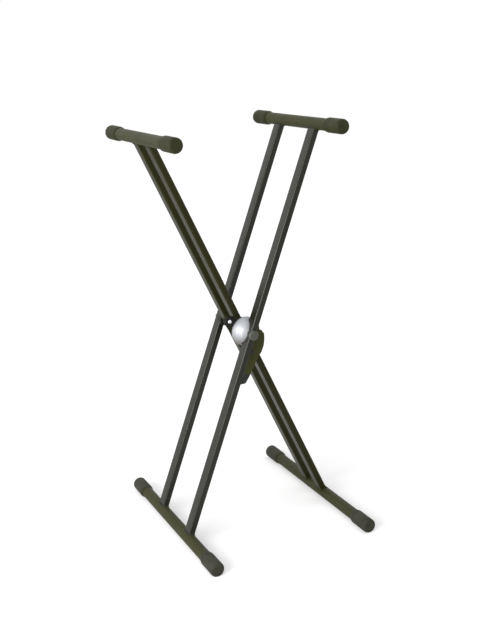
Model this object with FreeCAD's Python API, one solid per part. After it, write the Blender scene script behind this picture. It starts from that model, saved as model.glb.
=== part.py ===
import FreeCAD, Part
import math
import os

# Folding keyboard stand: two hinged tubular frames that cross at a pivot, with
# arms on top, feet below, a notched index plate at the hub and a release lever.
# Millimetres. X runs across the stand, Y runs along the arms with the front at
# -Y, and Z is up. The origin is on the floor, below the pivot.

# Arms and feet: round tubes with rubber caps pushed over their ends.
TUBE_OD = 28.6
TUBE_WALL = 1.5
ARM_LENGTH = 431.5
FOOT_LENGTH = 531.8
CAP_FIT = 0.05            # radial gap between a tube and its cap
CAP_WALL = 2.95
CAP_END = 3.0
ARM_CAP_LENGTH = 70.0
FOOT_CAP_LENGTH = 68.0
CAP_END_ROUND = 6.0
CAP_MOUTH_WALL = 1.2
CAP_MOUTH_TAPER = 9.0
CAP_MOUTH_ROUND = 0.5
TREAD_DEPTH = 0.6         # flat ground into the underside of a foot cap

# Legs: flat-sided tubes, two in each frame, whose wide side faces sideways.
LEG_WIDTH = 30.0          # along Y
LEG_THICKNESS = 16.0      # across the leg, in the plane of the fold
LEG_WALL = 1.5
LEG_CORNER = 3.5
LEG_REACH = 1027.4        # from arm axis to foot axis
INNER_LEG_GAP = 48.0      # clear width between the two inner legs
HUB_GAP = 19.0            # clear width between an inner leg and an outer leg

# Fold: the angle between the frames, and the pitch of the height steps.
OPEN_ANGLE = 45.4
STEP_ANGLE = 13.5
STEPS_LOWER = 4
STEPS_FOLD = 3

# Pivot through all four legs.
BOLT_D = 8.0
BOLT_HEAD_R = 7.0
BOLT_HEAD_H = 4.2
BOLT_HEAD_ROUND = 2.5
BOLT_SOCKET_AF = 5.0
BOLT_SOCKET_DEPTH = 2.4
NUT_AF = 13.0
NUT_H = 4.0
THREAD_PAST = 0.6         # how far a screw reaches past its nut
WASHER_R = 9.0
WASHER_T = 1.2
HOLE_FIT = 0.1            # radial gap of parts that are fixed on each other
RUN_FIT = 0.05            # radial gap of parts that turn on each other
SIDE_PLAY = 0.3           # gap between faces that turn past each other
BUSH_WALL = 1.5
BUSH_FLANGE_R = 9.0
BUSH_FLANGE_T = 2.0
SPREADER_WALL = 1.8       # sleeve inside an outer leg that the bolt clamps
HUB_SLEEVE_R = 11.0
HUB_SLEEVE_WALL = 4.5
FRONT_SPACER_R = 8.0
REAR_SPACER_R = 14.0
END_CAP_R = 12.0
END_CAP_WALL = 1.4
END_CAP_SPACE = 0.6       # air between the bolt's head and its cap
END_CAP_ROUND = 4.0

# Index plate on the front inner leg.
PLATE_R = 33.0
PLATE_T = 4.0
PLATE_BORE_GAP = 0.4      # round the bush flange
NOTCH_DEPTH = 2.4
NOTCH_MOUTH = 5.4
NOTCH_FLOOR = 4.0
EAR_UP = 44.4
EAR_SIDE = 25.5
EAR_R = 12.0
BOSS_R = 11.5
BOSS_H = 6.0
BOSS_ROUND = 2.0
PLATE_SCREW_D = 4.0
PLATE_SCREW_HEAD_R = 4.8
PLATE_SCREW_HEAD_H = 2.6
PLATE_SCREW_HEAD_ROUND = 2.0
PLATE_NUT_AF = 7.0
PLATE_NUT_H = 3.2

# Cover over the index plate. It hugs the left side of the front outer leg, and
# it is cut low behind that leg and the bracket. Corners are (radius, height
# above the rim, round).
COVER_R = 35.5
COVER_PROFILE = [(10, 31.5, 9), (22, 26, 14), (31.5, 13, 12), (35.5, 4.5, 5)]
COVER_WALL = 1.4
COVER_PLAY = 0.5          # to the index plate behind it and the bracket in front
COVER_BORE_GAP = 0.7      # round the front spacer

# Release lever on the front outer leg. Places are (across, up) from the pivot,
# measured with the leg upright.
BRACKET_T = 3.0
BRACKET_OUTLINE = [(-4.5, 26, 3), (22, 26, 3), (27, 14, 8), (43, 7.5, 5), (48.5, -6, 10), (51.9, -22, 12),
                   (51, -42, 12), (38, -61, 9), (9, -67, 4), (-4.5, -67, 3)]
BRACKET_SCREWS = [-42.0, -61.0]
BRACKET_SCREW_D = 5.0
BRACKET_SCREW_HEAD_R = 4.4
BRACKET_SCREW_HEAD_H = 2.4
BRACKET_SCREW_HEAD_ROUND = 1.5
BRACKET_SCREW_LENGTH = 9.0
LEVER_PIN = (26.0, -44.0)
LEVER_PIN_D = 6.0
LEVER_PIN_HEAD_R = 5.0
LEVER_PIN_HEAD_T = 1.5
LEVER_NUT_AF = 10.0
LEVER_NUT_H = 3.4
GRIP_LEFT = 5.0
GRIP_RIGHT = 42.0
LEVER_OUTLINE = [(37, 13, 1), (40.5, 9, 5), (46, -3, 12), (50, -18, 20), (51.5, -33, 30),
                 (GRIP_RIGHT, -104, 14), (37.5, -122.5, 5), (24, -128.5, 6), (9, -127, 6),
                 (GRIP_LEFT, -108, 8), (GRIP_LEFT, -78, 10), (11, -66, 8), (12, -38, 3)]
LEVER_EDGE = 1.5
LEVER_PLAY = 0.5          # between the lever and its bracket
LEVER_TURN_IN = 3.5       # degrees from the drawn place to the tooth's seat
LEVER_TURN_OUT = 6.0      # degrees from the drawn place to fully squeezed
COVER_CLEARANCE = 0.5     # between lever and cover with the tooth seated
GRIP_TOP = -99.0
TONGUE_LENGTH = 17.0
TONGUE_T = 5.0
TONGUE_INSET = 5.0
TONGUE_ROUND = 2.0
TOOTH_ANGLE = 10.0        # below the line square to the leg
TOOTH_TIP = 3.4
TOOTH_ROOT = 4.6
TOOTH_ROUND = 0.6
TOOTH_CLEARANCE = 0.4     # tip to plate with the lever as drawn
PAWL_HEAD = (40.0, 0.0)
PAWL_HEAD_R = 3.6
PAWL_PIN_R = 9.0
PAWL_CLEARANCE = 0.6      # pawl arm to plate with the tooth seated
PAWL_SCREWS = [(40.5, -12.0), (30.5, -54.0)]
PAWL_SCREW_D = 3.0
PAWL_SCREW_LENGTH = 8.0
SPRING_WIRE = 1.2         # width of the spring's square wire
SPRING_TURNS = 3.5
SPRING_PITCH = 1.5
SPRING_GAP = 0.9          # between the pin and the spring's inside
SPRING_POCKET_GAP = 0.8

# Worked out from the sizes above.
TUBE_R = TUBE_OD / 2
CAP_R = TUBE_R + CAP_FIT + CAP_WALL
HALF_REACH = LEG_REACH / 2
LEAN = OPEN_ANGLE / 2
FOOT_Z = CAP_R - TREAD_DEPTH
PIVOT_Z = FOOT_Z + HALF_REACH * math.cos(math.radians(LEAN))
BOLT_R = BOLT_D / 2
INNER_LEG_Y = INNER_LEG_GAP / 2 + LEG_WIDTH / 2
OUTER_LEG_Y = INNER_LEG_Y + LEG_WIDTH + HUB_GAP
INNER_FACE = INNER_LEG_Y + LEG_WIDTH / 2      # outward face of an inner leg
OUTER_FACE = INNER_FACE + HUB_GAP             # inward face of an outer leg
OUTSIDE = OUTER_FACE + LEG_WIDTH              # outward face of an outer leg
SPREADER_R = BOLT_R + HOLE_FIT + SPREADER_WALL
BUSH_BORE_R = BOLT_R + RUN_FIT
BUSH_R = BUSH_BORE_R + BUSH_WALL
PLATE_FRONT = -INNER_FACE - PLATE_T
PAWL_REAR = -INNER_FACE - TOOTH_CLEARANCE
PAWL_FRONT = PLATE_FRONT + TOOTH_CLEARANCE
BRACKET_REAR = -OUTER_FACE + BRACKET_T
LEVER_FRONT = BRACKET_REAR + LEVER_PLAY
COVER_RIM = PLATE_FRONT - COVER_PLAY
COVER_ROOF = BRACKET_REAR + COVER_PLAY        # front of the low part of the cover
LEVER_PIN_R = LEVER_PIN_D / 2
SPRING_COIL_R = LEVER_PIN_R + SPRING_GAP + SPRING_WIRE / 2
SPRING_POCKET_R = SPRING_COIL_R + SPRING_WIRE / 2 + SPRING_POCKET_GAP
SPRING_LENGTH = SPRING_TURNS * SPRING_PITCH
SPRING_POCKET_DEPTH = SPRING_LENGTH + SPRING_WIRE + SPRING_POCKET_GAP

UP = FreeCAD.Vector(0, 0, 1)
BACK = FreeCAD.Vector(0, 1, 0)


def on_front(across, up, depth=0.0):
    """Point at a place seen from the front, at a depth along the arms."""
    return FreeCAD.Vector(across, depth, up)


def on_plan(across, along, height=0.0):
    """Point at a place seen from above, at a height."""
    return FreeCAD.Vector(across, along, height)


def outline_face(corners, point):
    """Flat face through corners (u, v, round), each corner eased by an arc."""
    joins = []
    for index, (u, v, radius) in enumerate(corners):
        here = point(u, v)
        before = (point(*corners[index - 1][:2]) - here).normalize()
        after = (point(*corners[(index + 1) % len(corners)][:2]) - here).normalize()
        if radius == 0:
            joins.append((here, None, here))
            continue
        half = before.getAngle(after) / 2
        reach = radius / math.tan(half)
        middle = here + (before + after).normalize() * (radius / math.sin(half) - radius)
        joins.append((here + before * reach, middle, here + after * reach))
    edges = []
    for index, (start, middle, end) in enumerate(joins):
        if middle is not None:
            edges.append(Part.Arc(start, middle, end).toShape())
        following = joins[(index + 1) % len(joins)][0]
        if end.distanceToPoint(following) > 1e-6:
            edges.append(Part.LineSegment(end, following).toShape())
    return Part.Face(Part.Wire(edges))


def slab(corners, front, rear):
    """Plate with the given outline between two depths."""
    face = outline_face(corners, on_front)
    face.translate(BACK * front)
    return face.extrude(BACK * (rear - front))


def rod(radius, front, rear, across=0.0, up=0.0):
    """Round bar along the arms' direction."""
    return Part.makeCylinder(radius, rear - front, on_front(across, up, front), BACK)


def pipe(radius, bore, front, rear, across=0.0, up=0.0):
    """Round tube along the arms' direction."""
    return rod(radius, front, rear, across, up).cut(rod(bore, front, rear, across, up))


def hexagon(across_flats, front, rear, across=0.0, up=0.0):
    """Six-sided bar along the arms' direction."""
    radius = across_flats / math.sqrt(3)
    corners = []
    for side in range(6):
        turn = math.radians(60 * side)
        corners.append((across + radius * math.cos(turn), up + radius * math.sin(turn), 0))
    return slab(corners, front, rear)


def turned(profile):
    """Solid of revolution about the Y axis from corners (radius, along, round)."""
    return outline_face(profile, on_plan).revolve(FreeCAD.Vector(), BACK, 360)


def at(shape, across, depth, up, flip=False):
    """Copy of a shape, moved to a place and turned end for end if asked."""
    moved = shape.copy()
    if flip:
        moved.rotate(FreeCAD.Vector(), UP, 180)
    moved.translate(on_front(across, up, depth))
    return moved


def belt(centre_a, radius_a, centre_b, radius_b, front, rear):
    """Plate shaped like a belt round two circles, as seen from the front."""
    reach_u = centre_b[0] - centre_a[0]
    reach_v = centre_b[1] - centre_a[1]
    heading = math.atan2(reach_v, reach_u)
    spread = math.acos((radius_a - radius_b) / math.hypot(reach_u, reach_v))

    def rim(centre, radius, turn):
        return on_front(centre[0] + radius * math.cos(turn), centre[1] + radius * math.sin(turn), front)

    a_start, a_end = heading + spread, heading + 2 * math.pi - spread
    edges = [
        Part.Arc(rim(centre_a, radius_a, a_start), rim(centre_a, radius_a, heading + math.pi),
                 rim(centre_a, radius_a, a_end)).toShape(),
        Part.LineSegment(rim(centre_a, radius_a, a_end), rim(centre_b, radius_b, a_end)).toShape(),
        Part.Arc(rim(centre_b, radius_b, a_end), rim(centre_b, radius_b, heading),
                 rim(centre_b, radius_b, a_start)).toShape(),
        Part.LineSegment(rim(centre_b, radius_b, a_start), rim(centre_a, radius_a, a_start)).toShape(),
    ]
    return Part.Face(Part.Wire(edges)).extrude(BACK * (rear - front))


def cross_tube(length, up):
    """Arm or foot tube, at its height above the pivot."""
    return pipe(TUBE_R, TUBE_R - TUBE_WALL, -length / 2, length / 2, 0, up)


def end_cap(tube_length, cap_length, up, rear):
    """Rubber cap over one end of an arm or foot."""
    mouth = cap_length - CAP_END
    bore = TUBE_R + CAP_FIT
    profile = [
        (0, -CAP_END, 0), (CAP_R, -CAP_END, CAP_END_ROUND), (CAP_R, mouth - CAP_MOUTH_TAPER, 2 * CAP_WALL),
        (bore + CAP_MOUTH_WALL, mouth, CAP_MOUTH_ROUND), (bore, mouth, 0), (bore, 0, 0), (0, 0, 0),
    ]
    place = tube_length / 2 if rear else -tube_length / 2
    return at(turned(profile), 0, place, up, flip=rear)


def box_section(inset):
    """Outline of a leg tube, or of its bore, seen along the leg."""
    half_u = LEG_THICKNESS / 2 - inset
    half_v = LEG_WIDTH / 2 - inset
    corner = LEG_CORNER - inset
    corners = [(-half_u, -half_v, corner), (half_u, -half_v, corner),
               (half_u, half_v, corner), (-half_u, half_v, corner)]
    return outline_face(corners, on_plan)


def leg(depth, hole_r):
    """Leg tube with its ends shaped to the cross tubes and its pivot hole."""
    outside = box_section(0).extrude(UP * LEG_REACH)
    inside = box_section(LEG_WALL).extrude(UP * LEG_REACH)
    tube = at(outside.cut(inside), 0, depth, -HALF_REACH)
    for end in (-HALF_REACH, HALF_REACH):
        tube = tube.cut(rod(TUBE_R, depth - LEG_WIDTH, depth + LEG_WIDTH, 0, end))
    return tube.cut(rod(hole_r, depth - LEG_WIDTH, depth + LEG_WIDTH))


def frame(name, leg_y, hole_r):
    """Two legs, the arm, the foot and four caps of one frame, standing upright."""
    nodes = {
        name + "_leg_front": leg(-leg_y, hole_r),
        name + "_leg_rear": leg(leg_y, hole_r),
        name + "_arm": cross_tube(ARM_LENGTH, HALF_REACH),
        name + "_foot": cross_tube(FOOT_LENGTH, -HALF_REACH),
    }
    for side, rear in (("front", False), ("rear", True)):
        nodes[name + "_arm_cap_" + side] = end_cap(ARM_LENGTH, ARM_CAP_LENGTH, HALF_REACH, rear)
        nodes[name + "_foot_cap_" + side] = end_cap(FOOT_LENGTH, FOOT_CAP_LENGTH, -HALF_REACH, rear)
    return nodes


def pivot_bolt():
    """Button-head bolt through all four legs."""
    seat = OUTSIDE + WASHER_T
    shank_end = OUTSIDE + NUT_H + THREAD_PAST
    head = turned([(0, 0, 0), (0, -BOLT_HEAD_H, 0), (BOLT_HEAD_R, -BOLT_HEAD_H, BOLT_HEAD_ROUND),
                   (BOLT_HEAD_R, 0, 0)])
    head = at(head, 0, -seat, 0)
    socket = hexagon(BOLT_SOCKET_AF, -seat - BOLT_HEAD_H, -seat - BOLT_HEAD_H + BOLT_SOCKET_DEPTH)
    return head.fuse(rod(BOLT_R, -seat, shank_end)).cut(socket).removeSplitter()


def hub_end_cap():
    """Domed cap over the bolt's head."""
    inside = WASHER_T + BOLT_HEAD_H + END_CAP_SPACE
    bore = END_CAP_R - END_CAP_WALL
    tall = inside + END_CAP_WALL
    profile = [
        (0, -tall, 0), (END_CAP_R, -tall, END_CAP_ROUND), (END_CAP_R, 0, 0), (bore, 0, 0),
        (bore, -inside, END_CAP_ROUND - END_CAP_WALL), (0, -inside, 0),
    ]
    return at(turned(profile), 0, -OUTSIDE, 0)


def spreader(rear):
    """Sleeve that keeps the bolt from crushing an outer leg."""
    near = OUTER_FACE + LEG_WALL
    far = OUTSIDE - LEG_WALL
    front, back = (near, far) if rear else (-far, -near)
    sleeve = pipe(SPREADER_R, BOLT_R + HOLE_FIT, front, back)
    bore = box_section(LEG_WALL).extrude(UP * LEG_THICKNESS)
    return sleeve.common(at(bore, 0, OUTER_LEG_Y if rear else -OUTER_LEG_Y, -LEG_THICKNESS / 2))


def cover_form(inset):
    """Solid shape of the cover, or of the room inside it, with the leg's place cut out."""
    corners = [(radius - inset, inset - height, ease - inset) for radius, height, ease in COVER_PROFILE]
    nose = corners[0][1]
    bell = turned([(0, 0, 0), (0, nose, 0)] + corners + [(COVER_R - inset, 0, 0)])
    left = -LEG_THICKNESS / 2 - inset
    room = Part.makeBox(2 * COVER_R, 2 * HUB_GAP + LEG_WIDTH, 2 * COVER_R, on_front(left, -COVER_R, 0))
    room.translate(BACK * (COVER_ROOF + inset - 2 * HUB_GAP - LEG_WIDTH))
    return at(bell, 0, COVER_RIM, 0).cut(room)


def hub_cover():
    """Moulded cover over the index plate, open in the middle for the spacer."""
    bore = rod(FRONT_SPACER_R + COVER_BORE_GAP, -OUTSIDE, COVER_RIM)
    return cover_form(0).cut(cover_form(COVER_WALL)).cut(bore).removeSplitter()


def pivot_set():
    """Bolt, nut, washer, cap, spacers and cover that belong to the outer frame."""
    bore = BOLT_R + HOLE_FIT
    nut_rear = OUTSIDE + NUT_H
    sleeve_end = INNER_FACE + BUSH_FLANGE_T + SIDE_PLAY
    return {
        "pivot_bolt": pivot_bolt(),
        "pivot_nut": hexagon(NUT_AF, OUTSIDE, nut_rear).cut(rod(bore, OUTSIDE, nut_rear)),
        "pivot_washer": pipe(WASHER_R, bore, -OUTSIDE - WASHER_T, -OUTSIDE),
        "hub_end_cap": hub_end_cap(),
        "leg_spreader_front": spreader(False),
        "leg_spreader_rear": spreader(True),
        "hub_spacer_front": pipe(FRONT_SPACER_R, bore, -OUTER_FACE, -sleeve_end),
        "hub_spacer_rear": pipe(REAR_SPACER_R, bore, sleeve_end, OUTER_FACE),
        "hub_cover": hub_cover(),
    }


def bush(rear):
    """Flanged plastic bush in an inner leg, turning on the bolt."""
    face = INNER_FACE
    body = pipe(BUSH_R, BUSH_BORE_R, INNER_LEG_GAP / 2, face)
    flange = pipe(BUSH_FLANGE_R, BUSH_BORE_R, face, face + BUSH_FLANGE_T)
    whole = body.fuse(flange).removeSplitter()
    return whole if rear else at(whole, 0, 0, 0, flip=True)


def notch(angle):
    """Cutter for one notch in the rim of the index plate."""
    floor = PLATE_R - NOTCH_DEPTH
    past = PLATE_R + NOTCH_DEPTH
    slope = (NOTCH_MOUTH - NOTCH_FLOOR) / NOTCH_DEPTH
    wide = NOTCH_MOUTH + slope * NOTCH_DEPTH
    corners = [(floor, -NOTCH_FLOOR / 2, 0), (past, -wide / 2, 0),
               (past, wide / 2, 0), (floor, NOTCH_FLOOR / 2, 0)]
    cutter = slab(corners, PLATE_FRONT, -INNER_FACE)
    cutter.rotate(FreeCAD.Vector(), BACK, -angle)
    return cutter


def index_plate():
    """Notched plate with a screw ear, fixed to the front inner leg."""
    ear = (-EAR_SIDE, EAR_UP)
    plate = belt((0, 0), PLATE_R, ear, EAR_R, PLATE_FRONT, -INNER_FACE)
    plate = plate.cut(rod(BUSH_FLANGE_R + PLATE_BORE_GAP, PLATE_FRONT, -INNER_FACE))
    plate = plate.cut(rod(PLATE_SCREW_D / 2 + HOLE_FIT, PLATE_FRONT, -INNER_FACE, *ear))
    for step in range(-STEPS_LOWER, STEPS_FOLD + 1):
        plate = plate.cut(notch(-TOOTH_ANGLE - OPEN_ANGLE + step * STEP_ANGLE))
    return plate


def index_set():
    """Index plate, screw boss, bushes and the sleeve between the inner legs."""
    across, up = -EAR_SIDE, EAR_UP
    half_gap = INNER_LEG_GAP / 2
    hole = PLATE_SCREW_D / 2 + HOLE_FIT
    boss_front = PLATE_FRONT - BOSS_H
    boss = turned([(hole, -BOSS_H, 0), (BOSS_R, -BOSS_H, BOSS_ROUND), (BOSS_R, 0, 0), (hole, 0, 0)])
    head = turned([(0, 0, 0), (0, -PLATE_SCREW_HEAD_H, 0), (PLATE_SCREW_HEAD_R, -PLATE_SCREW_HEAD_H,
                   PLATE_SCREW_HEAD_ROUND), (PLATE_SCREW_HEAD_R, 0, 0)])
    nut_rear = -INNER_FACE + PLATE_NUT_H
    shank = rod(PLATE_SCREW_D / 2, boss_front, nut_rear + THREAD_PAST, across, up)
    nut = hexagon(PLATE_NUT_AF, -INNER_FACE, nut_rear, across, up)
    return {
        "index_plate": index_plate(),
        "index_boss": at(boss, across, PLATE_FRONT, up),
        "index_screw": at(head, across, boss_front, up).fuse(shank).removeSplitter(),
        "index_nut": nut.cut(rod(hole, -INNER_FACE, nut_rear, across, up)),
        "leg_bush_front": bush(False),
        "leg_bush_rear": bush(True),
        "hub_sleeve": pipe(HUB_SLEEVE_R, HUB_SLEEVE_R - HUB_SLEEVE_WALL, -half_gap, half_gap),
    }


def bracket_hole(up):
    """Cutter for a bracket screw through the bracket and the leg's wall."""
    return rod(BRACKET_SCREW_D / 2 + HOLE_FIT, BRACKET_REAR - BRACKET_SCREW_LENGTH, BRACKET_REAR, 0, up)


def lever_bracket():
    """Plate on the inward face of the front outer leg that carries the lever."""
    plate = slab(BRACKET_OUTLINE, -OUTER_FACE, BRACKET_REAR)
    plate = plate.cut(rod(LEVER_PIN_R + HOLE_FIT, -OUTER_FACE, BRACKET_REAR, *LEVER_PIN))
    plate = plate.cut(rod(FRONT_SPACER_R + HOLE_FIT, -OUTER_FACE, BRACKET_REAR))
    for up in BRACKET_SCREWS:
        plate = plate.cut(bracket_hole(up))
    return plate


def bracket_screw(up):
    """Pan-head screw that holds the bracket to the leg."""
    head = turned([(0, 0, 0), (0, -BRACKET_SCREW_HEAD_H, 0), (BRACKET_SCREW_HEAD_R, -BRACKET_SCREW_HEAD_H,
                   BRACKET_SCREW_HEAD_ROUND), (BRACKET_SCREW_HEAD_R, 0, 0)])
    shank = rod(BRACKET_SCREW_D / 2, BRACKET_REAR - BRACKET_SCREW_LENGTH, BRACKET_REAR, 0, up)
    return at(head, 0, BRACKET_REAR, up, flip=True).fuse(shank).removeSplitter()


def lever_pin():
    """Shouldered pin from the bracket through the lever, its head sunk in the pawl."""
    head_rear = PAWL_REAR - LEVER_PLAY / 2
    head_front = head_rear - LEVER_PIN_HEAD_T
    shank = rod(LEVER_PIN_R, -OUTER_FACE - LEVER_NUT_H - THREAD_PAST, head_rear, *LEVER_PIN)
    return shank.fuse(rod(LEVER_PIN_HEAD_R, head_front, head_rear, *LEVER_PIN)).removeSplitter()


def lever_spring():
    """Coil round the pin that returns the lever."""
    helix = Part.makeHelix(SPRING_PITCH, SPRING_LENGTH, SPRING_COIL_R)
    half = SPRING_WIRE / 2
    near, far = SPRING_COIL_R - half, SPRING_COIL_R + half
    corners = [(near, -half), (far, -half), (far, half), (near, half), (near, -half)]
    wire = Part.makePolygon([on_front(across, up) for across, up in corners])
    coil = Part.Wire(helix.Edges).makePipeShell([wire], True, True)
    coil.rotate(FreeCAD.Vector(), FreeCAD.Vector(1, 0, 0), -90)
    start = BRACKET_REAR + SPRING_WIRE / 2 + LEVER_PLAY / 2
    return at(coil, LEVER_PIN[0], start, LEVER_PIN[1])


def lever_mount_set():
    """What carries the lever on the outer frame."""
    nut_front = -OUTER_FACE - LEVER_NUT_H
    nut = hexagon(LEVER_NUT_AF, nut_front, -OUTER_FACE, *LEVER_PIN)
    nodes = {
        "lever_bracket": lever_bracket(),
        "lever_pin": lever_pin(),
        "lever_pin_nut": nut.cut(rod(LEVER_PIN_R + HOLE_FIT, nut_front, -OUTER_FACE, *LEVER_PIN)),
        "lever_spring": lever_spring(),
    }
    for name, up in zip(("upper", "lower"), BRACKET_SCREWS):
        nodes["bracket_screw_" + name] = bracket_screw(up)
    return nodes


def seat_travel(place):
    """How far a place on the lever moves as the tooth goes to its seat."""
    arm = math.hypot(place[0] - LEVER_PIN[0], place[1] - LEVER_PIN[1])
    return arm * math.radians(LEVER_TURN_IN)


def lever_blank():
    """Whole lever with its grip, before the two are parted."""
    top = max(LEVER_OUTLINE, key=lambda corner: corner[1])
    cover_room = COVER_R + COVER_CLEARANCE + seat_travel(top)
    blank = slab(LEVER_OUTLINE, LEVER_FRONT, PAWL_FRONT)
    rims = [edge for edge in blank.Edges if edge.BoundBox.YLength < 1e-6]
    eased = blank.makeFillet(LEVER_EDGE, rims)
    return eased.cut(rod(cover_room, LEVER_FRONT, PAWL_FRONT))


def tongue(gap):
    """Tongue of the lever inside the grip, or its slot when given a gap."""
    middle = (LEVER_FRONT + PAWL_FRONT) / 2
    half = TONGUE_T / 2 + gap
    left = GRIP_LEFT + TONGUE_INSET - gap
    right = GRIP_RIGHT - TONGUE_INSET + gap
    foot = GRIP_TOP - TONGUE_LENGTH - gap
    corners = [(left, GRIP_TOP, 0), (left, foot, TONGUE_ROUND),
               (right - TONGUE_INSET, foot, TONGUE_ROUND), (right, GRIP_TOP, 0)]
    return slab(corners, middle - half, middle + half)


def pawl_hole(place, radius, front):
    """Cutter for a pawl screw, from a depth to the pawl's rear face."""
    return rod(radius, front, PAWL_REAR, *place)


def lever_pawl():
    """Steel arm behind the lever with the tooth that drops into the plate."""
    arm = belt(LEVER_PIN, PAWL_PIN_R, PAWL_HEAD, PAWL_HEAD_R, PAWL_FRONT, PAWL_REAR)
    arm_room = PLATE_R + PAWL_CLEARANCE + seat_travel(PAWL_HEAD)
    arm = arm.cut(rod(arm_room, PAWL_FRONT, PAWL_REAR))
    tip = PLATE_R + TOOTH_CLEARANCE
    root = arm_room + TOOTH_ROOT
    corners = [(tip, -TOOTH_TIP / 2, TOOTH_ROUND), (root, -TOOTH_ROOT / 2, 0),
               (root, TOOTH_ROOT / 2, 0), (tip, TOOTH_TIP / 2, TOOTH_ROUND)]
    tooth = slab(corners, PAWL_FRONT, PAWL_REAR)
    tooth.rotate(FreeCAD.Vector(), BACK, TOOTH_ANGLE)
    pawl = arm.fuse(tooth).removeSplitter()
    pawl = pawl.cut(rod(LEVER_PIN_R + RUN_FIT, PAWL_FRONT, PAWL_REAR, *LEVER_PIN))
    sunk = PAWL_REAR - LEVER_PLAY - LEVER_PIN_HEAD_T
    pawl = pawl.cut(rod(LEVER_PIN_HEAD_R + LEVER_PLAY, sunk, PAWL_REAR, *LEVER_PIN))
    for place in PAWL_SCREWS:
        pawl = pawl.cut(pawl_hole(place, PAWL_SCREW_D / 2 + HOLE_FIT, PAWL_FRONT))
    return pawl


def lever_set():
    """Lever, grip, pawl and pawl screws."""
    blank = lever_blank()
    corner = on_front(-GRIP_RIGHT, GRIP_TOP - LEG_REACH, -OUTER_FACE)
    low = Part.makeBox(4 * GRIP_RIGHT, HUB_GAP, LEG_REACH, corner)
    lever = blank.cut(low).fuse(tongue(0)).removeSplitter()
    lever = lever.cut(rod(LEVER_PIN_R + RUN_FIT, LEVER_FRONT, PAWL_FRONT, *LEVER_PIN))
    lever = lever.cut(rod(SPRING_POCKET_R, LEVER_FRONT, LEVER_FRONT + SPRING_POCKET_DEPTH, *LEVER_PIN))
    nodes = {"lever_grip": blank.common(low).cut(tongue(HOLE_FIT)), "lever_pawl": lever_pawl()}
    screw_front = PAWL_REAR - PAWL_SCREW_LENGTH
    for name, place in zip(("upper", "lower"), PAWL_SCREWS):
        lever = lever.cut(pawl_hole(place, PAWL_SCREW_D / 2 + HOLE_FIT, screw_front - HOLE_FIT))
        nodes["pawl_screw_" + name] = pawl_hole(place, PAWL_SCREW_D / 2, screw_front)
    nodes["release_lever"] = lever
    return nodes


def lean(nodes, angle):
    """Nodes of an upright frame, tipped about the pivot and set at its height."""
    placed = {}
    for name, shape in nodes.items():
        tipped = shape.copy()
        tipped.rotate(FreeCAD.Vector(), BACK, angle)
        tipped.translate(UP * PIVOT_Z)
        placed[name] = tipped
    return placed


def flatten_treads(nodes):
    """Cut the foot caps level with the floor."""
    reach = LEG_REACH + FOOT_LENGTH
    below = Part.makeBox(2 * reach, 2 * reach, CAP_R, FreeCAD.Vector(-reach, -reach, -CAP_R))
    for name in nodes:
        if "_foot_cap_" in name:
            nodes[name] = nodes[name].cut(below)


def stand():
    """Every node of the stand, at its place."""
    outer = frame("outer", OUTER_LEG_Y, BOLT_R + HOLE_FIT)
    for up in BRACKET_SCREWS:
        outer["outer_leg_front"] = outer["outer_leg_front"].cut(bracket_hole(up))
    outer.update(pivot_set())
    outer.update(lever_mount_set())
    outer.update(lever_set())
    inner = frame("inner", INNER_LEG_Y, BUSH_R + HOLE_FIT)
    inner.update(index_set())
    nodes = lean(outer, LEAN)
    nodes.update(lean(inner, -LEAN))
    flatten_treads(nodes)
    return nodes


def save(nodes):
    """Write one file for each node and print its volume."""
    os.makedirs("parts", exist_ok=True)
    for name, shape in sorted(nodes.items()):
        shape.exportStep(os.path.join("parts", name + ".step"))
        state = (name, len(shape.Solids), shape.isValid(), shape.Volume)
        print("%-24s solids %d valid %s volume %.1f" % state)


save(stand())
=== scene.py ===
import logging
import math
from dataclasses import dataclass, field
from enum import Enum

import bmesh
import bpy
import numpy as np
from mathutils import Matrix, Vector


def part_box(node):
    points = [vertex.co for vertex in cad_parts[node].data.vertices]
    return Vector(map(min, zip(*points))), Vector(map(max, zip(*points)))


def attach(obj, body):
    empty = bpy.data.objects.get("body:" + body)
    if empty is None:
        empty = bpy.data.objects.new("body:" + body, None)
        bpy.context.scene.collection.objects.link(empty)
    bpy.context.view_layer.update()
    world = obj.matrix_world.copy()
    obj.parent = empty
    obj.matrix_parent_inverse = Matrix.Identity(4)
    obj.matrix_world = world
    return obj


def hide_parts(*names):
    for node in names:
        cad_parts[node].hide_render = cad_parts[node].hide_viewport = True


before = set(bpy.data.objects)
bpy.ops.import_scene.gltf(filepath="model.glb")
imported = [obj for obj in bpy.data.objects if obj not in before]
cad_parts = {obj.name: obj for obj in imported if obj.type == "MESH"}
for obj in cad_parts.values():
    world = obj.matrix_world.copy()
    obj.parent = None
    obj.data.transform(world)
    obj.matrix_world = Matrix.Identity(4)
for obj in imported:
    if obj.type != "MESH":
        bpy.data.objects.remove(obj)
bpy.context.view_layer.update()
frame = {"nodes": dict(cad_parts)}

Array = np.ndarray
Colour = tuple[float, float, float]
Place = tuple[float, float, float]
Socket = bpy.types.NodeSocket
Span = tuple[float, float]

LOG = logging.getLogger("keyboard_stand")
MM = 0.001
FULL_TURN = 2 * math.pi
WHITE: Colour = (1.0, 1.0, 1.0)
WHOLE: Span = (0.0, 1.0)
NOISE_SPAN: Span = (0.3, 0.7)      # most of a noise's values lie between these
DOUBLES = 1e-6                     # points nearer than this are one point
TINY_EDGE = 1e-7                   # an edge shorter than this goes


class Side(Enum):
    """Which way along the arms a piece lies."""

    FRONT = -1
    REAR = 1


class End(Enum):
    """Which end of a leg a piece lies at."""

    FOOT = -1
    ARM = 1


# ---------------------------------------------------------------- node trees


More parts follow.
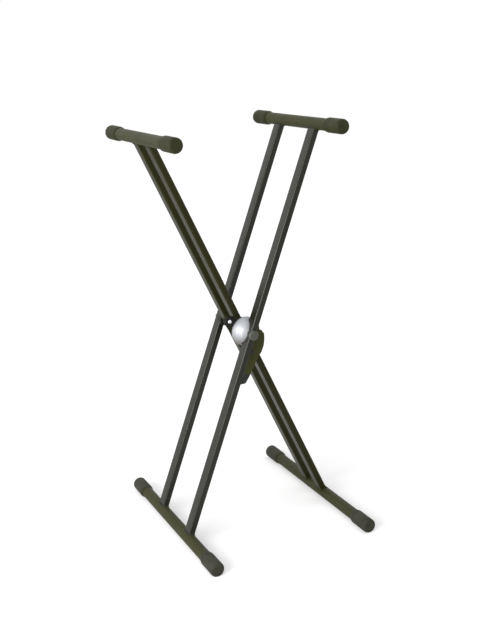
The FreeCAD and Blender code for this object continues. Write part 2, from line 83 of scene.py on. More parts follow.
class NodeTree:
    """A node tree with short ways to add and join nodes."""

    def __init__(self, tree: bpy.types.NodeTree) -> None:
        """Take up a tree.

        Args:
            tree: The tree of a material or a world.
        """
        self.tree = tree

    def add(self, kind: str, **settings: object) -> bpy.types.Node:
        """Add a node.

        Args:
            kind: Blender's name of the node type.
            **settings: Properties of the node, such as operation or data_type.

        Returns:
            The new node.
        """
        node = self.tree.nodes.new(kind)
        for key, value in settings.items():
            setattr(node, key, value)
        return node

    def join(self, source: Socket, target: Socket) -> None:
        """Join an output to an input."""
        self.tree.links.new(source, target)

    def combine(self, operation: str, first: Socket, second: Socket) -> Socket:
        """Combine two values.

        Args:
            operation: Blender's name of the operation, such as MAXIMUM.
            first: One value.
            second: The other.

        Returns:
            The result.
        """
        node = self.add("ShaderNodeMath", operation=operation)
        self.join(first, node.inputs[0])
        self.join(second, node.inputs[1])
        return node.outputs[0]

    def spread(self, value: Socket, span: Span, result: Span) -> Socket:
        """Map a value's range onto another, held at its ends.

        Args:
            value: What is mapped.
            span: Start and end of the range read.
            result: What the start and the end become.

        Returns:
            The mapped value.
        """
        node = self.add("ShaderNodeMapRange", clamp=True)
        for key, number in zip(("From Min", "From Max", "To Min", "To Max"), (*span, *result)):
            node.inputs[key].default_value = number
        self.join(value, node.inputs["Value"])
        return node.outputs["Result"]


class Surface(NodeTree):
    """A material's node tree, with its shader and the object's own coordinates."""

    def __init__(self, name: str) -> None:
        """Start a material.

        Args:
            name: Name of the material.
        """
        self.material = bpy.data.materials.new(name)
        self.material.use_nodes = True
        super().__init__(self.material.node_tree)
        self.shader = self.tree.nodes["Principled BSDF"]
        self.coordinates = self.add("ShaderNodeTexCoord").outputs["Object"]

    def placed(self, turn: float, stretch: Place) -> Socket:
        """Object coordinates turned about Y and stretched.

        Args:
            turn: Angle about Y in radians.
            stretch: Scale along each turned axis.

        Returns:
            The vector output.
        """
        spin = self.add("ShaderNodeMapping", vector_type="POINT")
        spin.inputs["Rotation"].default_value = (0.0, turn, 0.0)
        self.join(self.coordinates, spin.inputs["Vector"])
        scale = self.add("ShaderNodeMapping", vector_type="POINT")
        scale.inputs["Scale"].default_value = stretch
        self.join(spin.outputs["Vector"], scale.inputs["Vector"])
        return scale.outputs["Vector"]

    def noise(self, scale: float, detail: float = 2.0, vector: Socket | None = None) -> Socket:
        """Noise between 0 and 1.

        Args:
            scale: Cells per metre.
            detail: Octaves.
            vector: Coordinates, or None for the object's own.

        Returns:
            The value output.
        """
        node = self.add("ShaderNodeTexNoise")
        node.inputs["Scale"].default_value = scale
        node.inputs["Detail"].default_value = detail
        self.join(vector or self.coordinates, node.inputs["Vector"])
        return node.outputs["Fac"]

    def patches(self, scale: float, result: Span, span: Span = NOISE_SPAN, detail: float = 3.0,
                vector: Socket | None = None) -> Socket:
        """Noise spread over a range.

        Args:
            scale: Cells per metre.
            result: Range the patches take.
            span: Range of the noise that is read.
            detail: Octaves.
            vector: Coordinates, or None for the object's own.

        Returns:
            The value output.
        """
        return self.spread(self.noise(scale, detail, vector), span, result)

    def blend(self, factor: Socket, low: Colour, high: Colour, under: Socket | None = None) -> Socket:
        """Mix two colours by a factor.

        Args:
            factor: 0 gives the first colour, 1 the second.
            low: First colour, used where nothing lies under.
            high: Second colour.
            under: Colour output that takes the first colour's place.

        Returns:
            The colour output.
        """
        node = self.add("ShaderNodeMix", data_type="RGBA")
        colour_inputs = [socket for socket in node.inputs if socket.type == "RGBA"]
        colour_inputs[0].default_value = (*low, 1.0)
        colour_inputs[1].default_value = (*high, 1.0)
        if under is not None:
            self.join(under, colour_inputs[0])
        self.join(factor, node.inputs["Factor"])
        return [socket for socket in node.outputs if socket.type == "RGBA"][0]

    def clouds(self, scale: float, low: Colour, high: Colour) -> Socket:
        """Colour that drifts between two tones in soft clouds.

        Args:
            scale: Cells per metre.
            low: One tone.
            high: The other.

        Returns:
            The colour output.
        """
        return self.blend(self.patches(scale, WHOLE), low, high)

    def coat(self, colour: Socket, rough: Socket) -> None:
        """Lead a colour and a roughness to the shader."""
        self.join(colour, self.shader.inputs["Base Color"])
        self.join(rough, self.shader.inputs["Roughness"])

    def bump(self, height: Socket, depth: float, strength: float) -> None:
        """Raise the surface by a height map.

        Args:
            height: Value between 0 and 1.
            depth: Height of 1 in metres.
            strength: Share of the effect.
        """
        node = self.add("ShaderNodeBump")
        node.inputs["Distance"].default_value = depth
        node.inputs["Strength"].default_value = strength
        self.join(height, node.inputs["Height"])
        self.join(node.outputs["Normal"], self.shader.inputs["Normal"])

    def steady(self, **values: float | tuple[float, float, float, float]) -> None:
        """Set plain numbers or colours on the shader's own sockets."""
        for key, value in values.items():
            self.shader.inputs[key.replace("_", " ")].default_value = value

    def gloss(self, shine: float, tint: Colour) -> None:
        """Set how strong the reflection is and what colour it takes."""
        self.steady(Specular_IOR_Level=shine, Specular_Tint=(*tint, 1.0))


def toned(colour: Colour, tone: Colour) -> Colour:
    """Multiply a colour by a tone, channel by channel."""
    return tuple(channel * factor for channel, factor in zip(colour, tone))


def shaded(colour: Colour, factor: float, lift: float = 0.0) -> Colour:
    """Multiply a colour by one factor and raise every channel by a lift."""
    return tuple(channel * factor + lift for channel in colour)


def around(middle: float, offsets: Span) -> Span:
    """Range that lies about a middle, from the first offset to the second."""
    return middle + offsets[0], middle + offsets[1]


# ---------------------------------------------------------------- finishes


@dataclass(frozen=True)
class PowderCoat:
    """Baked paint on steel: fine orange peel, faint scuffs along the tube."""

    name: str
    colour: Colour
    rough: float
    tint: Colour = (1.0, 1.0, 0.95)
    shine: float = 0.4
    turn: float = 0.0
    grain: float = 620.0
    grain_depth: float = 0.09 * MM
    grain_strength: float = 0.6
    scuff: float = 0.25
    scuff_lift: float = 0.05
    scuff_span: Span = (0.66, 0.78)
    scuff_cells: Place = (420.0, 420.0, 16.0)
    cloud: float = 9.0
    cloud_tones: Span = (0.88, 1.12)
    patch: float = 35.0
    patch_rough: Span = (-0.05, 0.06)

    def material(self) -> bpy.types.Material:
        """Build the finish.

        Returns:
            The material.
        """
        surface = Surface(self.name)
        low, high = self.cloud_tones
        clouds = surface.clouds(self.cloud, shaded(self.colour, low), shaded(self.colour, high))
        along = surface.placed(self.turn, self.scuff_cells)
        scuffs = surface.patches(1.0, (0.0, self.scuff), self.scuff_span, detail=4.0, vector=along)
        pale = shaded(self.colour, 1.0, self.scuff_lift)
        surface.coat(surface.blend(scuffs, self.colour, pale, clouds),
                     surface.patches(self.patch, around(self.rough, self.patch_rough)))
        surface.bump(surface.noise(self.grain), self.grain_depth, self.grain_strength)
        surface.gloss(self.shine, self.tint)
        return surface.material


@dataclass(frozen=True)
class MouldedRubber:
    """Matt rubber: pitted skin, dusty patches."""

    name: str
    colour: Colour
    rough: float = 0.62
    tint: Colour = (1.0, 1.0, 0.85)
    shine: float = 0.24
    dust: float = 0.5
    dust_cells: float = 28.0
    dust_span: Span = (0.42, 0.75)
    dust_gain: float = 1.5
    dust_lift: float = 0.01
    pit: float = 650.0
    pit_depth: float = 0.09 * MM
    pit_strength: float = 0.7
    patch: float = 60.0
    patch_rough: Span = (-0.06, 0.1)

    def material(self) -> bpy.types.Material:
        """Build the finish.

        Returns:
            The material.
        """
        surface = Surface(self.name)
        dust = surface.patches(self.dust_cells, (0.0, self.dust), self.dust_span, detail=5.0)
        pale = shaded(self.colour, self.dust_gain, self.dust_lift)
        surface.coat(surface.blend(dust, self.colour, pale),
                     surface.patches(self.patch, around(self.rough, self.patch_rough)))
        surface.bump(surface.noise(self.pit, detail=3.0), self.pit_depth, self.pit_strength)
        surface.gloss(self.shine, self.tint)
        return surface.material


@dataclass(frozen=True)
class GrainedPlastic:
    """Moulded plastic with a spark-eroded grain."""

    name: str
    colour: Colour
    rough: float = 0.42
    tint: Colour = WHITE
    shine: float = 0.5
    grain: float = 1100.0
    grain_depth: float = 0.06 * MM
    grain_strength: float = 0.8
    cloud: float = 30.0
    cloud_tones: Span = (0.85, 1.2)
    patch: float = 90.0
    patch_rough: Span = (-0.05, 0.08)

    def material(self) -> bpy.types.Material:
        """Build the finish.

        Returns:
            The material.
        """
        surface = Surface(self.name)
        cells = surface.add("ShaderNodeTexVoronoi")
        cells.inputs["Scale"].default_value = self.grain
        surface.join(surface.coordinates, cells.inputs["Vector"])
        low, high = self.cloud_tones
        surface.coat(surface.clouds(self.cloud, shaded(self.colour, low), shaded(self.colour, high)),
                     surface.patches(self.patch, around(self.rough, self.patch_rough), detail=2.0))
        surface.bump(cells.outputs["Distance"], self.grain_depth, self.grain_strength)
        surface.gloss(self.shine, self.tint)
        return surface.material


@dataclass(frozen=True)
class SilverPaint:
    """Silver-painted moulding with a painted highlight, brightest at one spot and duller away from there,
    and painted shade that makes it darker and warmer towards the bottom, lighter and bluer towards the top.
    """

    name: str
    highlight_centre: Vector
    reach: float
    # bright is the painted highlight's colour and dull the colour away from it; the two tones below tint
    # dull as painted shade at the bottom and painted light at the top.
    bright: Colour = (0.46, 0.475, 0.505)
    dull: Colour = (0.3, 0.3, 0.3)
    under_shade_tone: Colour = (0.82, 0.8, 0.75)
    top_light_tone: Colour = (1.1, 1.15, 1.26)
    core: float = 0.35
    metal: float = 0.35
    rough: float = 0.46
    flake: float = 1800.0
    flake_rough: Span = (-0.04, 0.06)
    grain: float = 1400.0
    grain_depth: float = 0.03 * MM
    grain_strength: float = 0.5

    def material(self) -> bpy.types.Material:
        """Build the finish.

        Returns:
            The material.
        """
        surface = Surface(self.name)
        apart = surface.add("ShaderNodeVectorMath", operation="DISTANCE")
        surface.join(surface.coordinates, apart.inputs[0])
        apart.inputs[1].default_value = self.highlight_centre
        # Painted highlight: the colour brightens towards one spot on the cover, where the key light falls,
        # and dulls away from it.
        painted_highlight = surface.spread(apart.outputs["Value"], (self.reach * self.core, self.reach), (1.0, 0.0))
        split = surface.add("ShaderNodeSeparateXYZ")
        surface.join(surface.coordinates, split.inputs[0])
        # Painted shade and light: the dull colour turns darker and warmer towards the bottom, lighter and
        # bluer towards the top.
        height = surface.spread(split.outputs["Z"], around(self.highlight_centre.z, (-self.reach, self.reach)), WHOLE)
        under_shade, top_light = toned(self.dull, self.under_shade_tone), toned(self.dull, self.top_light_tone)
        surface.coat(surface.blend(painted_highlight, under_shade, self.bright, surface.blend(height, under_shade, top_light)),
                     surface.patches(self.flake, around(self.rough, self.flake_rough), detail=2.0))
        surface.bump(surface.noise(self.grain), self.grain_depth, self.grain_strength)
        surface.steady(Metallic=self.metal)
        return surface.material


@dataclass(frozen=True)
class BrightMetal:
    """Plated or bare steel: fine polishing lines and smears."""

    name: str
    colour: Colour
    rough: float
    smear: float = 22.0
    smear_rough: float = 0.06
    smear_tone: float = 0.9
    smear_span: Span = (0.35, 0.7)
    line: float = 700.0
    line_depth: float = 0.01 * MM
    line_strength: float = 0.5

    def material(self) -> bpy.types.Material:
        """Build the finish.

        Returns:
            The material.
        """
        surface = Surface(self.name)
        smears = surface.noise(self.smear, detail=4.0)
        share = surface.spread(smears, self.smear_span, WHOLE)
        surface.coat(surface.blend(share, self.colour, shaded(self.colour, self.smear_tone)),
                     surface.spread(smears, NOISE_SPAN, (self.rough, self.rough + self.smear_rough)))
        surface.bump(surface.noise(self.line), self.line_depth, self.line_strength)
        surface.steady(Metallic=1.0)
        return surface.material


def paint(finish: bpy.types.Material, *nodes: str) -> None:
    """Give nodes of the frame a finish.

    Args:
        finish: The material.
        *nodes: Names of the nodes.
    """
    for node in nodes:
        materials = frame["nodes"][node].data.materials
        materials.clear()
        materials.append(finish)
        LOG.info("%s has %s", node, finish.name)


# ---------------------------------------------------------------- meshes


def grid_mesh(name: str, points: Array, close_u: bool, close_v: bool) -> bpy.types.Object:
    """Make a mesh from a grid of points, with quads between neighbours.

    Args:
        name: Name of the piece.
        points: Array of shape (rows, columns, 3), in metres.
        close_u: Whether the last row joins the first.
        close_v: Whether the last column joins the first.

    Returns:
        The object, linked and smooth.
    """
    rows, columns = points.shape[:2]
    index = np.arange(rows * columns).reshape(rows, columns)
    near = index if close_u else index[:-1]
    far = np.roll(index, -1, 0) if close_u else index[1:]
    if close_v:
        near_next, far_next = np.roll(near, -1, 1), np.roll(far, -1, 1)
    else:
        near, near_next, far, far_next = near[:, :-1], near[:, 1:], far[:, :-1], far[:, 1:]
    quads = np.stack([near, near_next, far_next, far], -1).reshape(-1, 4)
    mesh = bpy.data.meshes.new(name)
    mesh.from_pydata(points.reshape(-1, 3).tolist(), [], quads.tolist())
    return finished(name, mesh)


def finished(name: str, mesh: bpy.types.Mesh) -> bpy.types.Object:
    """Weld a mesh's doubles, point its faces outwards, smooth it and link it.

    Args:
        name: Name of the piece.
        mesh: Its mesh, already in place.

    Returns:
        The object.
    """
    work = bmesh.new()
    work.from_mesh(mesh)
    bmesh.ops.remove_doubles(work, verts=work.verts, dist=DOUBLES)
    bmesh.ops.dissolve_degenerate(work, dist=TINY_EDGE, edges=work.edges)
    bmesh.ops.recalc_face_normals(work, faces=work.faces)
    work.to_mesh(mesh)
    work.free()
    mesh.polygons.foreach_set("use_smooth", np.ones(len(mesh.polygons), bool))
    piece = bpy.data.objects.new(name, mesh)
    bpy.context.scene.collection.objects.link(piece)
    return piece


def smooth_step(value: Array, low: float, high: float) -> Array:
    """Rise from 0 at low to 1 at high, as t * t * (3 - 2 t) with t the share of the way."""
    share = np.clip((value - low) / (high - low), 0.0, 1.0)
    return share * share * (3.0 - 2.0 * share)


def round_turn(steps: int) -> Array:
    """Angles of a full turn in even steps, without the last one."""
    return np.linspace(0, FULL_TURN, steps, endpoint=False)


# ---------------------------------------------------------------- the two frames


@dataclass(frozen=True)
class FramePaint:
    """The paint of one frame's legs and cross tubes, and the rubber of its caps."""

    leg: Colour
    leg_tint: Colour
    leg_shine: float
    tube_tint: Colour
    leg_rough: float = 0.32
    tube: Colour = (0.028, 0.028, 0.008)
    tube_shine: float = 0.27
    tube_rough: float = 0.55
    tube_grain: float = 700.0
    tube_scuff: float = 0.12
    arm_cap: Colour = (0.020, 0.020, 0.006)
    foot_cap: Colour = (0.026, 0.026, 0.017)
    foot_cap_dust: float = 0.8


@dataclass
class FoldingFrame:
    """One of the two frames: its legs, arm, foot and caps."""

    name: str
    body: str
    arm: Vector = field(init=False)
    foot: Vector = field(init=False)
    up: Vector = field(init=False)
    across: Vector = field(init=False)
    tube_r: float = field(init=False)

    def __post_init__(self) -> None:
        """Read the arm's and foot's axes from the frame."""
        self.arm = self._middle(self.name + "_arm")
        self.foot = self._middle(self.name + "_foot")
        self.up = (self.arm - self.foot).normalized()
        self.across = Vector((self.up.z, 0.0, -self.up.x))
        low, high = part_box(self.name + "_arm")
        self.tube_r = (high.x - low.x) / 2

    @staticmethod
    def _middle(node: str) -> Vector:
        """Centre of a node's box."""
        low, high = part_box(node)
        return (low + high) / 2

    @property
    def lean(self) -> float:
        """Angle of the legs from upright, about Y."""
        return math.atan2(self.up.x, self.up.z)

    def dress(self, look: FramePaint) -> None:
        """Give the frame's nodes their finishes and its legs their weld beads.

        Args:
            look: The frame's paint and rubber.
        """
        legs = PowderCoat(self.name + "_leg_paint", look.leg, look.leg_rough, look.leg_tint,
                          look.leg_shine, turn=-self.lean).material()
        tubes = PowderCoat(self.name + "_tube_paint", look.tube, look.tube_rough, look.tube_tint,
                           look.tube_shine, grain=look.tube_grain, scuff=look.tube_scuff).material()
        arm_rubber = MouldedRubber(self.name + "_arm_cap_rubber", look.arm_cap)
        foot_rubber = MouldedRubber(self.name + "_foot_cap_rubber", look.foot_cap, tint=WHITE,
                                    dust=look.foot_cap_dust)
        rubbers = {End.ARM: arm_rubber.material(), End.FOOT: foot_rubber.material()}
        paint(legs, self.name + "_leg_front", self.name + "_leg_rear")
        paint(tubes, self.name + "_arm", self.name + "_foot")
        for end in End:
            for side in Side:
                paint(rubbers[end], f"{self.name}_{end.name.lower()}_cap_{side.name.lower()}")
                bead = WeldBead(self, side, end).build()
                bead.data.materials.append(legs)
        LOG.info("%s frame dressed, leaning %.1f degrees", self.name, math.degrees(self.lean))


@dataclass
class WeldBead:
    """Rippled bead where the end of a leg meets a cross tube."""

    frame: FoldingFrame
    side: Side
    end: End
    half_width: float = 15.0 * MM
    half_thickness: float = 8.0 * MM
    corner: float = 3.5 * MM
    corner_points: int = 9
    throat: float = 1.9 * MM
    ripple: float = 1.6 * MM
    ripple_depth: float = 0.16
    ripple_bend: float = 1.2
    steps: int = 288
    ring: int = 14

    def _rim(self) -> tuple[Array, Array]:
        """Closed outline of the leg, with its outward directions.

        The rounded rectangle is the box shrunk by the corner radius, moved out along its normal:
        p = clamp(q) + corner * n, walked evenly by arc length.

        Returns:
            Points and unit normals as (across, along Y) pairs.
        """
        a, b = self.half_thickness - self.corner, self.half_width - self.corner
        points, normals = [], []
        for quarter, middle in enumerate(((a, b), (-a, b), (-a, -b), (a, -b))):
            turn = (quarter + np.linspace(0, 1, self.corner_points)) * math.pi / 2
            out = np.stack([np.cos(turn), np.sin(turn)], -1)
            points.append(np.array(middle) + self.corner * out)
            normals.append(out)
        loop, out = (np.concatenate([*rows, rows[0][:1]]) for rows in (points, normals))
        gone = np.concatenate([[0.0], np.cumsum(np.linalg.norm(np.diff(loop, axis=0), axis=1))])
        even = np.linspace(0, gone[-1], self.steps, endpoint=False)
        walk = np.stack([np.interp(even, gone, loop[:, axis]) for axis in (0, 1)], -1)
        faces = np.stack([np.interp(even, gone, out[:, axis]) for axis in (0, 1)], -1)
        return walk, faces / np.linalg.norm(faces, axis=1)[:, None]

    def build(self) -> bpy.types.Object:
        """Build the bead.

        The path is the leg's outline carried along the leg to the tube, at a distance
        sqrt(R^2 - a^2) from its axis, where a is the distance across. Round it runs a circle whose
        radius is throat * (1 + depth * cos(2 pi s / ripple + bend * sin(turn))), so the ripples
        are curved.

        Returns:
            The bead, riding on its frame.
        """
        tube = self.frame.arm if self.end is End.ARM else self.frame.foot
        low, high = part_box(f"{self.frame.name}_leg_{self.side.name.lower()}")
        walk, out = self._rim()
        up = np.array(self.frame.up) * self.end.value
        across, along = np.array(self.frame.across), np.array((0.0, 1.0, 0.0))
        reach = np.sqrt(self.frame.tube_r ** 2 - walk[:, 0] ** 2)
        centre = np.array((tube.x, (low.y + high.y) / 2, tube.z))
        path = centre - reach[:, None] * up + walk[:, :1] * across + walk[:, 1:] * along
        outward = out[:, :1] * across + out[:, 1:] * along
        travelled = np.linalg.norm(np.roll(path, -1, 0) - path, axis=1)
        waves = round(float(travelled.sum()) / self.ripple)
        phase = np.cumsum(travelled) / travelled.sum() * waves * FULL_TURN
        turn = round_turn(self.ring)
        swell = 1 + self.ripple_depth * np.cos(phase[:, None] + self.ripple_bend * np.sin(turn))
        section = np.cos(turn)[None, :, None] * outward[:, None] - np.sin(turn)[None, :, None] * up
        points = path[:, None] + self.throat * swell[..., None] * section
        name = f"{self.frame.name}_{self.end.name.lower()}_weld_{self.side.name.lower()}"
        bead = grid_mesh(name, points, True, True)
        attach(bead, self.frame.body)
        LOG.info("%s has %d ripples", name, waves)
        return bead


# ---------------------------------------------------------------- hub and lever


@dataclass
class DomedScrew:
    """Round-head screw with a cross recess and a rolled thread, along Y."""

    node: str
    body: str
    head_height: float = 2.6 * MM
    head_rings: int = 44
    shank_r: float = 2.0 * MM
    shank_rings: int = 110
    pitch: float = 0.7 * MM
    thread_depth: float = 0.32 * MM
    runout: Span = (0.3 * MM, 0.9 * MM)
    tip_length: float = 0.3 * MM
    tip_taper: float = 0.6 * MM
    recess_depth: float = 1.1 * MM
    recess_half: float = 0.5 * MM
    recess_wall: Span = (0.8, 1.3)
    recess_reach: float = 2.6 * MM
    recess_end: float = 0.7
    sides: int = 144

    def build(self) -> bpy.types.Object:
        """Build the screw in its node's place.

        The head is the ellipse y = front + h (1 - sqrt(1 - (r / R)^2)) turned about the axis, sunk
        by the recess where a point lies near either arm of the cross. The shank's radius is
        r0 - d (1 - cos(2 pi y / pitch - turn)) / 2, a thread that climbs one pitch a turn.

        Returns:
            The screw, riding on its body.
        """
        low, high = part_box(self.node)
        centre, head_r, front = (low + high) / 2, (high.x - low.x) / 2, low.y
        turn = round_turn(self.sides)[None, :]
        every = np.ones_like(turn)
        sweep = np.linspace(0, math.pi / 2, self.head_rings)[:, None]
        radius = head_r * np.sin(sweep) * every
        depth = front + self.head_height * (1 - np.cos(sweep)) * every
        depth = depth + self.recess_depth * self._recess(radius, turn)
        seat, end = front + self.head_height, high.y
        shank = np.linspace(seat, end - self.tip_length, self.shank_rings)[:, None]
        wave = (1 - np.cos(FULL_TURN * shank / self.pitch - turn)) / 2
        grown = smooth_step(shank, seat + self.runout[0], seat + self.runout[1])
        shank_r = self.shank_r - self.thread_depth * wave * grown
        tip = np.array([[self.shank_r - self.tip_taper], [0.0]]) * every
        radii = np.vstack([radius, shank_r, tip])
        places = np.vstack([depth, shank * every, np.full_like(tip, end)])
        points = np.stack([centre.x + radii * np.cos(turn), places, centre.z + radii * np.sin(turn)], -1)
        screw = grid_mesh("cross_" + self.node, points, False, True)
        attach(screw, self.body)
        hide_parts(self.node)
        LOG.info("%s has %d faces", screw.name, len(screw.data.polygons))
        return screw

    def _recess(self, radius: Array, turn: Array) -> Array:
        """How deep the cross goes at each point of the head.

        Args:
            radius: Distance from the axis.
            turn: Angle about the axis.

        Returns:
            1 in the cross, 0 outside it and between them on its walls.
        """
        off = np.minimum(abs(radius * np.cos(turn)), abs(radius * np.sin(turn)))
        low, high = self.recess_wall
        arms = 1 - smooth_step(off, self.recess_half * low, self.recess_half * high)
        return arms * (1 - smooth_step(radius, self.recess_reach * self.recess_end, self.recess_reach))


@dataclass
class Hub:
    """Pivot, index plate, cover, bushes and caps."""

    # Where the cover's painted highlight lies and how far it spreads.
    highlight_shares: Span = (0.17, 0.3)
    highlight_rise: float = 12.0 * MM
    highlight_reach: float = 33.0 * MM
    plate: PowderCoat = PowderCoat("plate_paint", (0.013, 0.013, 0.006), 0.5,
                                   tint=(1.0, 1.0, 0.7), shine=0.18)
    bright: BrightMetal = BrightMetal("bright_steel", (0.9, 0.9, 0.9), 0.12)
    zinc: BrightMetal = BrightMetal("zinc_steel", (0.56, 0.57, 0.58), 0.32)
    cap: GrainedPlastic = GrainedPlastic("cap_plastic", (0.062, 0.066, 0.054), shine=0.4)
    boss: GrainedPlastic = GrainedPlastic("boss_plastic", (0.006, 0.006, 0.006), 0.5, shine=0.2)
    bush: GrainedPlastic = GrainedPlastic("bush_plastic", (0.016, 0.016, 0.011), 0.5, shine=0.22)

    def _highlight_spot(self) -> Vector:
        """Centre of the cover's painted highlight, by shares of its box."""
        low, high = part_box("hub_cover")
        across, deep = self.highlight_shares
        return Vector((low.x + across * (high.x - low.x), low.y + deep * (high.y - low.y),
                       (low.z + high.z) / 2 + self.highlight_rise))

    def dress(self) -> None:
        """Give the hub's nodes their finishes and build its bright screw."""
        bright = self.bright.material()
        paint(self.plate.material(), "index_plate")
        # The cover's silver carries a painted highlight and painted shade.
        paint(SilverPaint("cover_silver", self._highlight_spot(), self.highlight_reach).material(), "hub_cover")
        paint(bright, "index_screw")
        paint(self.zinc.material(), "index_nut", "pivot_bolt", "pivot_nut", "pivot_washer",
              "leg_spreader_front", "leg_spreader_rear", "hub_sleeve")
        paint(self.cap.material(), "hub_end_cap")
        paint(self.boss.material(), "index_boss")
        paint(self.bush.material(), "hub_spacer_front", "hub_spacer_rear", "leg_bush_front", "leg_bush_rear")
        screw = DomedScrew("index_screw", "inner_frame").build()
        screw.data.materials.append(bright)
        LOG.info("hub dressed")


@dataclass
class ReleaseLever:
    """Lever, grip, pawl and the bracket that carries them."""

    handle: GrainedPlastic = GrainedPlastic("lever_plastic", (0.035, 0.037, 0.010), 0.5,
                                            tint=(1.0, 1.0, 0.45), shine=0.4)
    grip: MouldedRubber = MouldedRubber("grip_rubber", (0.038, 0.042, 0.043), 0.55)
    bracket: PowderCoat = PowderCoat("bracket_paint", (0.032, 0.033, 0.008), 0.45,
                                     tint=(1.0, 1.0, 0.6), shine=0.33)
    dark: BrightMetal = BrightMetal("black_steel", (0.05, 0.05, 0.05), 0.35)
    zinc: BrightMetal = BrightMetal("pawl_steel", (0.5, 0.5, 0.5), 0.3)

    def dress(self) -> None:
        """Give the lever's nodes their finishes."""
        paint(self.handle.material(), "release_lever")
        paint(self.grip.material(), "lever_grip")
        paint(self.bracket.material(), "lever_bracket")
        paint(self.zinc.material(), "lever_pawl", "lever_spring")
        paint(self.dark.material(), "lever_pin", "lever_pin_nut", "bracket_screw_upper",
              "bracket_screw_lower", "pawl_screw_upper", "pawl_screw_lower")
        LOG.info("lever dressed")


# ---------------------------------------------------------------- camera, light and floor


@dataclass
class PhotoCamera:
    """Camera at the photograph's viewing angle, fitted to the object's outline."""

    place: Place = (-0.95217, -2.22138, 1.19860)
    azimuth: float = -23.384
    elevation: float = 14.389
    roll: float = -3.888
    lens: float = 58.145
    shift: Span = (0.0055, -0.0468)

    def build(self) -> None:
        """Make the camera and set it as the scene's.

        Its axes are the ones of a camera that looks at the object from the azimuth and
        elevation, turned about the line of sight by the roll.
        """
        around_z, above = math.radians(self.azimuth), math.radians(self.elevation)
        back = Vector((math.sin(around_z) * math.cos(above), -math.cos(around_z) * math.cos(above),
                       math.sin(above)))
        right = Vector((math.cos(around_z), math.sin(around_z), 0.0))
        top = back.cross(right)
        turn = math.radians(self.roll)
        side = right * math.cos(turn) + top * math.sin(turn)
        head = top * math.cos(turn) - right * math.sin(turn)
        data = bpy.data.cameras.new("photo_camera")
        data.lens = self.lens
        data.shift_x, data.shift_y = self.shift
        camera = bpy.data.objects.new("photo_camera", data)
        bpy.context.scene.collection.objects.link(camera)
        axes = Matrix((side, head, back)).transposed().to_4x4()
        camera.matrix_world = Matrix.Translation(self.place) @ axes
        bpy.context.scene.camera = camera
        LOG.info("camera placed")


@dataclass(frozen=True)
class Lamp:
    """Soft rectangular lamp that faces the stand's middle."""

    name: str
    place: Place
    size: Span
    power: float
    target: Place = (0.0, 0.0, 0.5)

    def build(self) -> None:
        """Make the lamp and turn it to its target."""
        data = bpy.data.lights.new(self.name, "AREA")
        data.shape = "RECTANGLE"
        data.size, data.size_y = self.size
        data.energy = self.power
        lamp = bpy.data.objects.new(self.name, data)
        lamp.location = self.place
        lamp.rotation_mode = "QUATERNION"
        back = Vector(self.place) - Vector(self.target)
        lamp.rotation_quaternion = back.to_track_quat("Z", "Y")
        bpy.context.scene.collection.objects.link(lamp)
        LOG.info("%s placed", self.name)


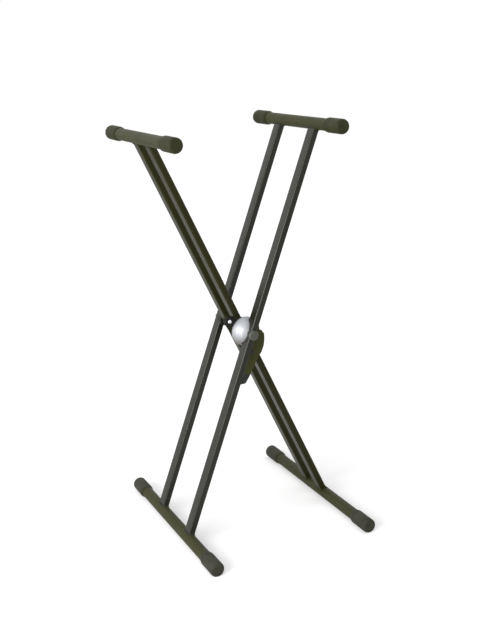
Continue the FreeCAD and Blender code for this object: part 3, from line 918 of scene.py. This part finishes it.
@dataclass
class Studio:
    """Pale floor, even white surroundings and soft lamps."""

    floor_rings: tuple[float, ...] = (0.0, 0.5, 1.5, 4.0, 9.0)
    floor_sides: int = 64
    floor_tones: Span = (0.86, 0.88)
    floor_rough: float = 0.9
    cloud: float = 3.0
    glow: Span = (0.33, 0.62)
    glow_span: Span = (0.6, 2.4)
    world_strength: float = 0.5
    lamps: tuple[Lamp, ...] = (
        Lamp("key_lamp", (-2.6, -1.4, 1.35), (2.6, 1.7), 102.0),
        Lamp("fill_lamp", (2.8, -2.2, 1.6), (2.2, 2.2), 8.0),
        Lamp("top_lamp", (0.2, 0.6, 3.2), (2.2, 2.2), 15.0),
    )

    def build(self) -> None:
        """Make the floor, the world and the lamps."""
        self._floor()
        self._world()
        for lamp in self.lamps:
            lamp.build()
        bpy.context.scene.view_settings.view_transform = "Standard"
        LOG.info("studio built")

    def _floor(self) -> None:
        """Wide round floor that keeps the object's shadow, (r cos t, r sin t, 0) over rings r.

        It is a little uneven in tone, and brightens with distance where the camera sees it.
        """
        radii, turn = np.array(self.floor_rings)[:, None], round_turn(self.floor_sides)
        flat = np.zeros((len(self.floor_rings), self.floor_sides))
        points = np.stack([radii * np.cos(turn), radii * np.sin(turn), flat], -1)
        floor = grid_mesh("floor", points, False, True)
        if floor.data.polygons[0].normal.z < 0:
            floor.data.flip_normals()
        surface = Surface("floor_white")
        low, high = (shaded(WHITE, tone) for tone in self.floor_tones)
        surface.join(surface.clouds(self.cloud, low, high), surface.shader.inputs["Base Color"])
        out = surface.add("ShaderNodeVectorMath", operation="LENGTH")
        surface.join(surface.coordinates, out.inputs[0])
        rays = surface.add("ShaderNodeLightPath")
        glow = surface.spread(out.outputs["Value"], self.glow_span, self.glow)
        seen = surface.combine("MULTIPLY", glow, rays.outputs["Is Camera Ray"])
        surface.join(seen, surface.shader.inputs["Emission Strength"])
        surface.steady(Roughness=self.floor_rough, Specular_IOR_Level=0.0, Emission_Color=(*WHITE, 1.0))
        floor.data.materials.append(surface.material)

    def _world(self) -> None:
        """White surroundings, at full strength where the camera, gloss or glass sees them."""
        world = bpy.data.worlds.new("studio_world")
        world.use_nodes = True
        bpy.context.scene.world = world
        sky = NodeTree(world.node_tree)
        background = world.node_tree.nodes["Background"]
        background.inputs["Color"].default_value = (*WHITE, 1.0)
        rays = sky.add("ShaderNodeLightPath").outputs
        seen = sky.combine("MAXIMUM", rays["Is Camera Ray"], rays["Is Glossy Ray"])
        seen = sky.combine("MAXIMUM", seen, rays["Is Transmission Ray"])
        level = sky.spread(seen, WHOLE, (self.world_strength, 1.0))
        sky.join(level, background.inputs["Strength"])


# ---------------------------------------------------------------- the whole


def main() -> None:
    """Build the camera, the studio and every piece in order."""
    logging.basicConfig(level=logging.INFO, format="%(name)s: %(message)s")
    PhotoCamera().build()
    Studio().build()
    outer = FoldingFrame("outer", "outer_frame")
    inner = FoldingFrame("inner", "inner_frame")
    # The inner frame's legs take a lighter, more olive copy of the outer frame's leg paint, with less shine:
    # painted light that lifts their downward-facing, shaded sides.
    outer.dress(FramePaint(leg=(0.009, 0.009, 0.005), leg_tint=(1.0, 1.0, 0.95), leg_shine=0.4,
                           tube_tint=(1.0, 1.0, 0.7)))
    inner.dress(FramePaint(leg=(0.0135, 0.013, 0.002), leg_tint=(1.0, 0.98, 0.72), leg_shine=0.24,
                           tube_tint=(1.0, 1.0, 0.9)))
    Hub().dress()
    ReleaseLever().dress()


if __name__ == "__main__":
    main()
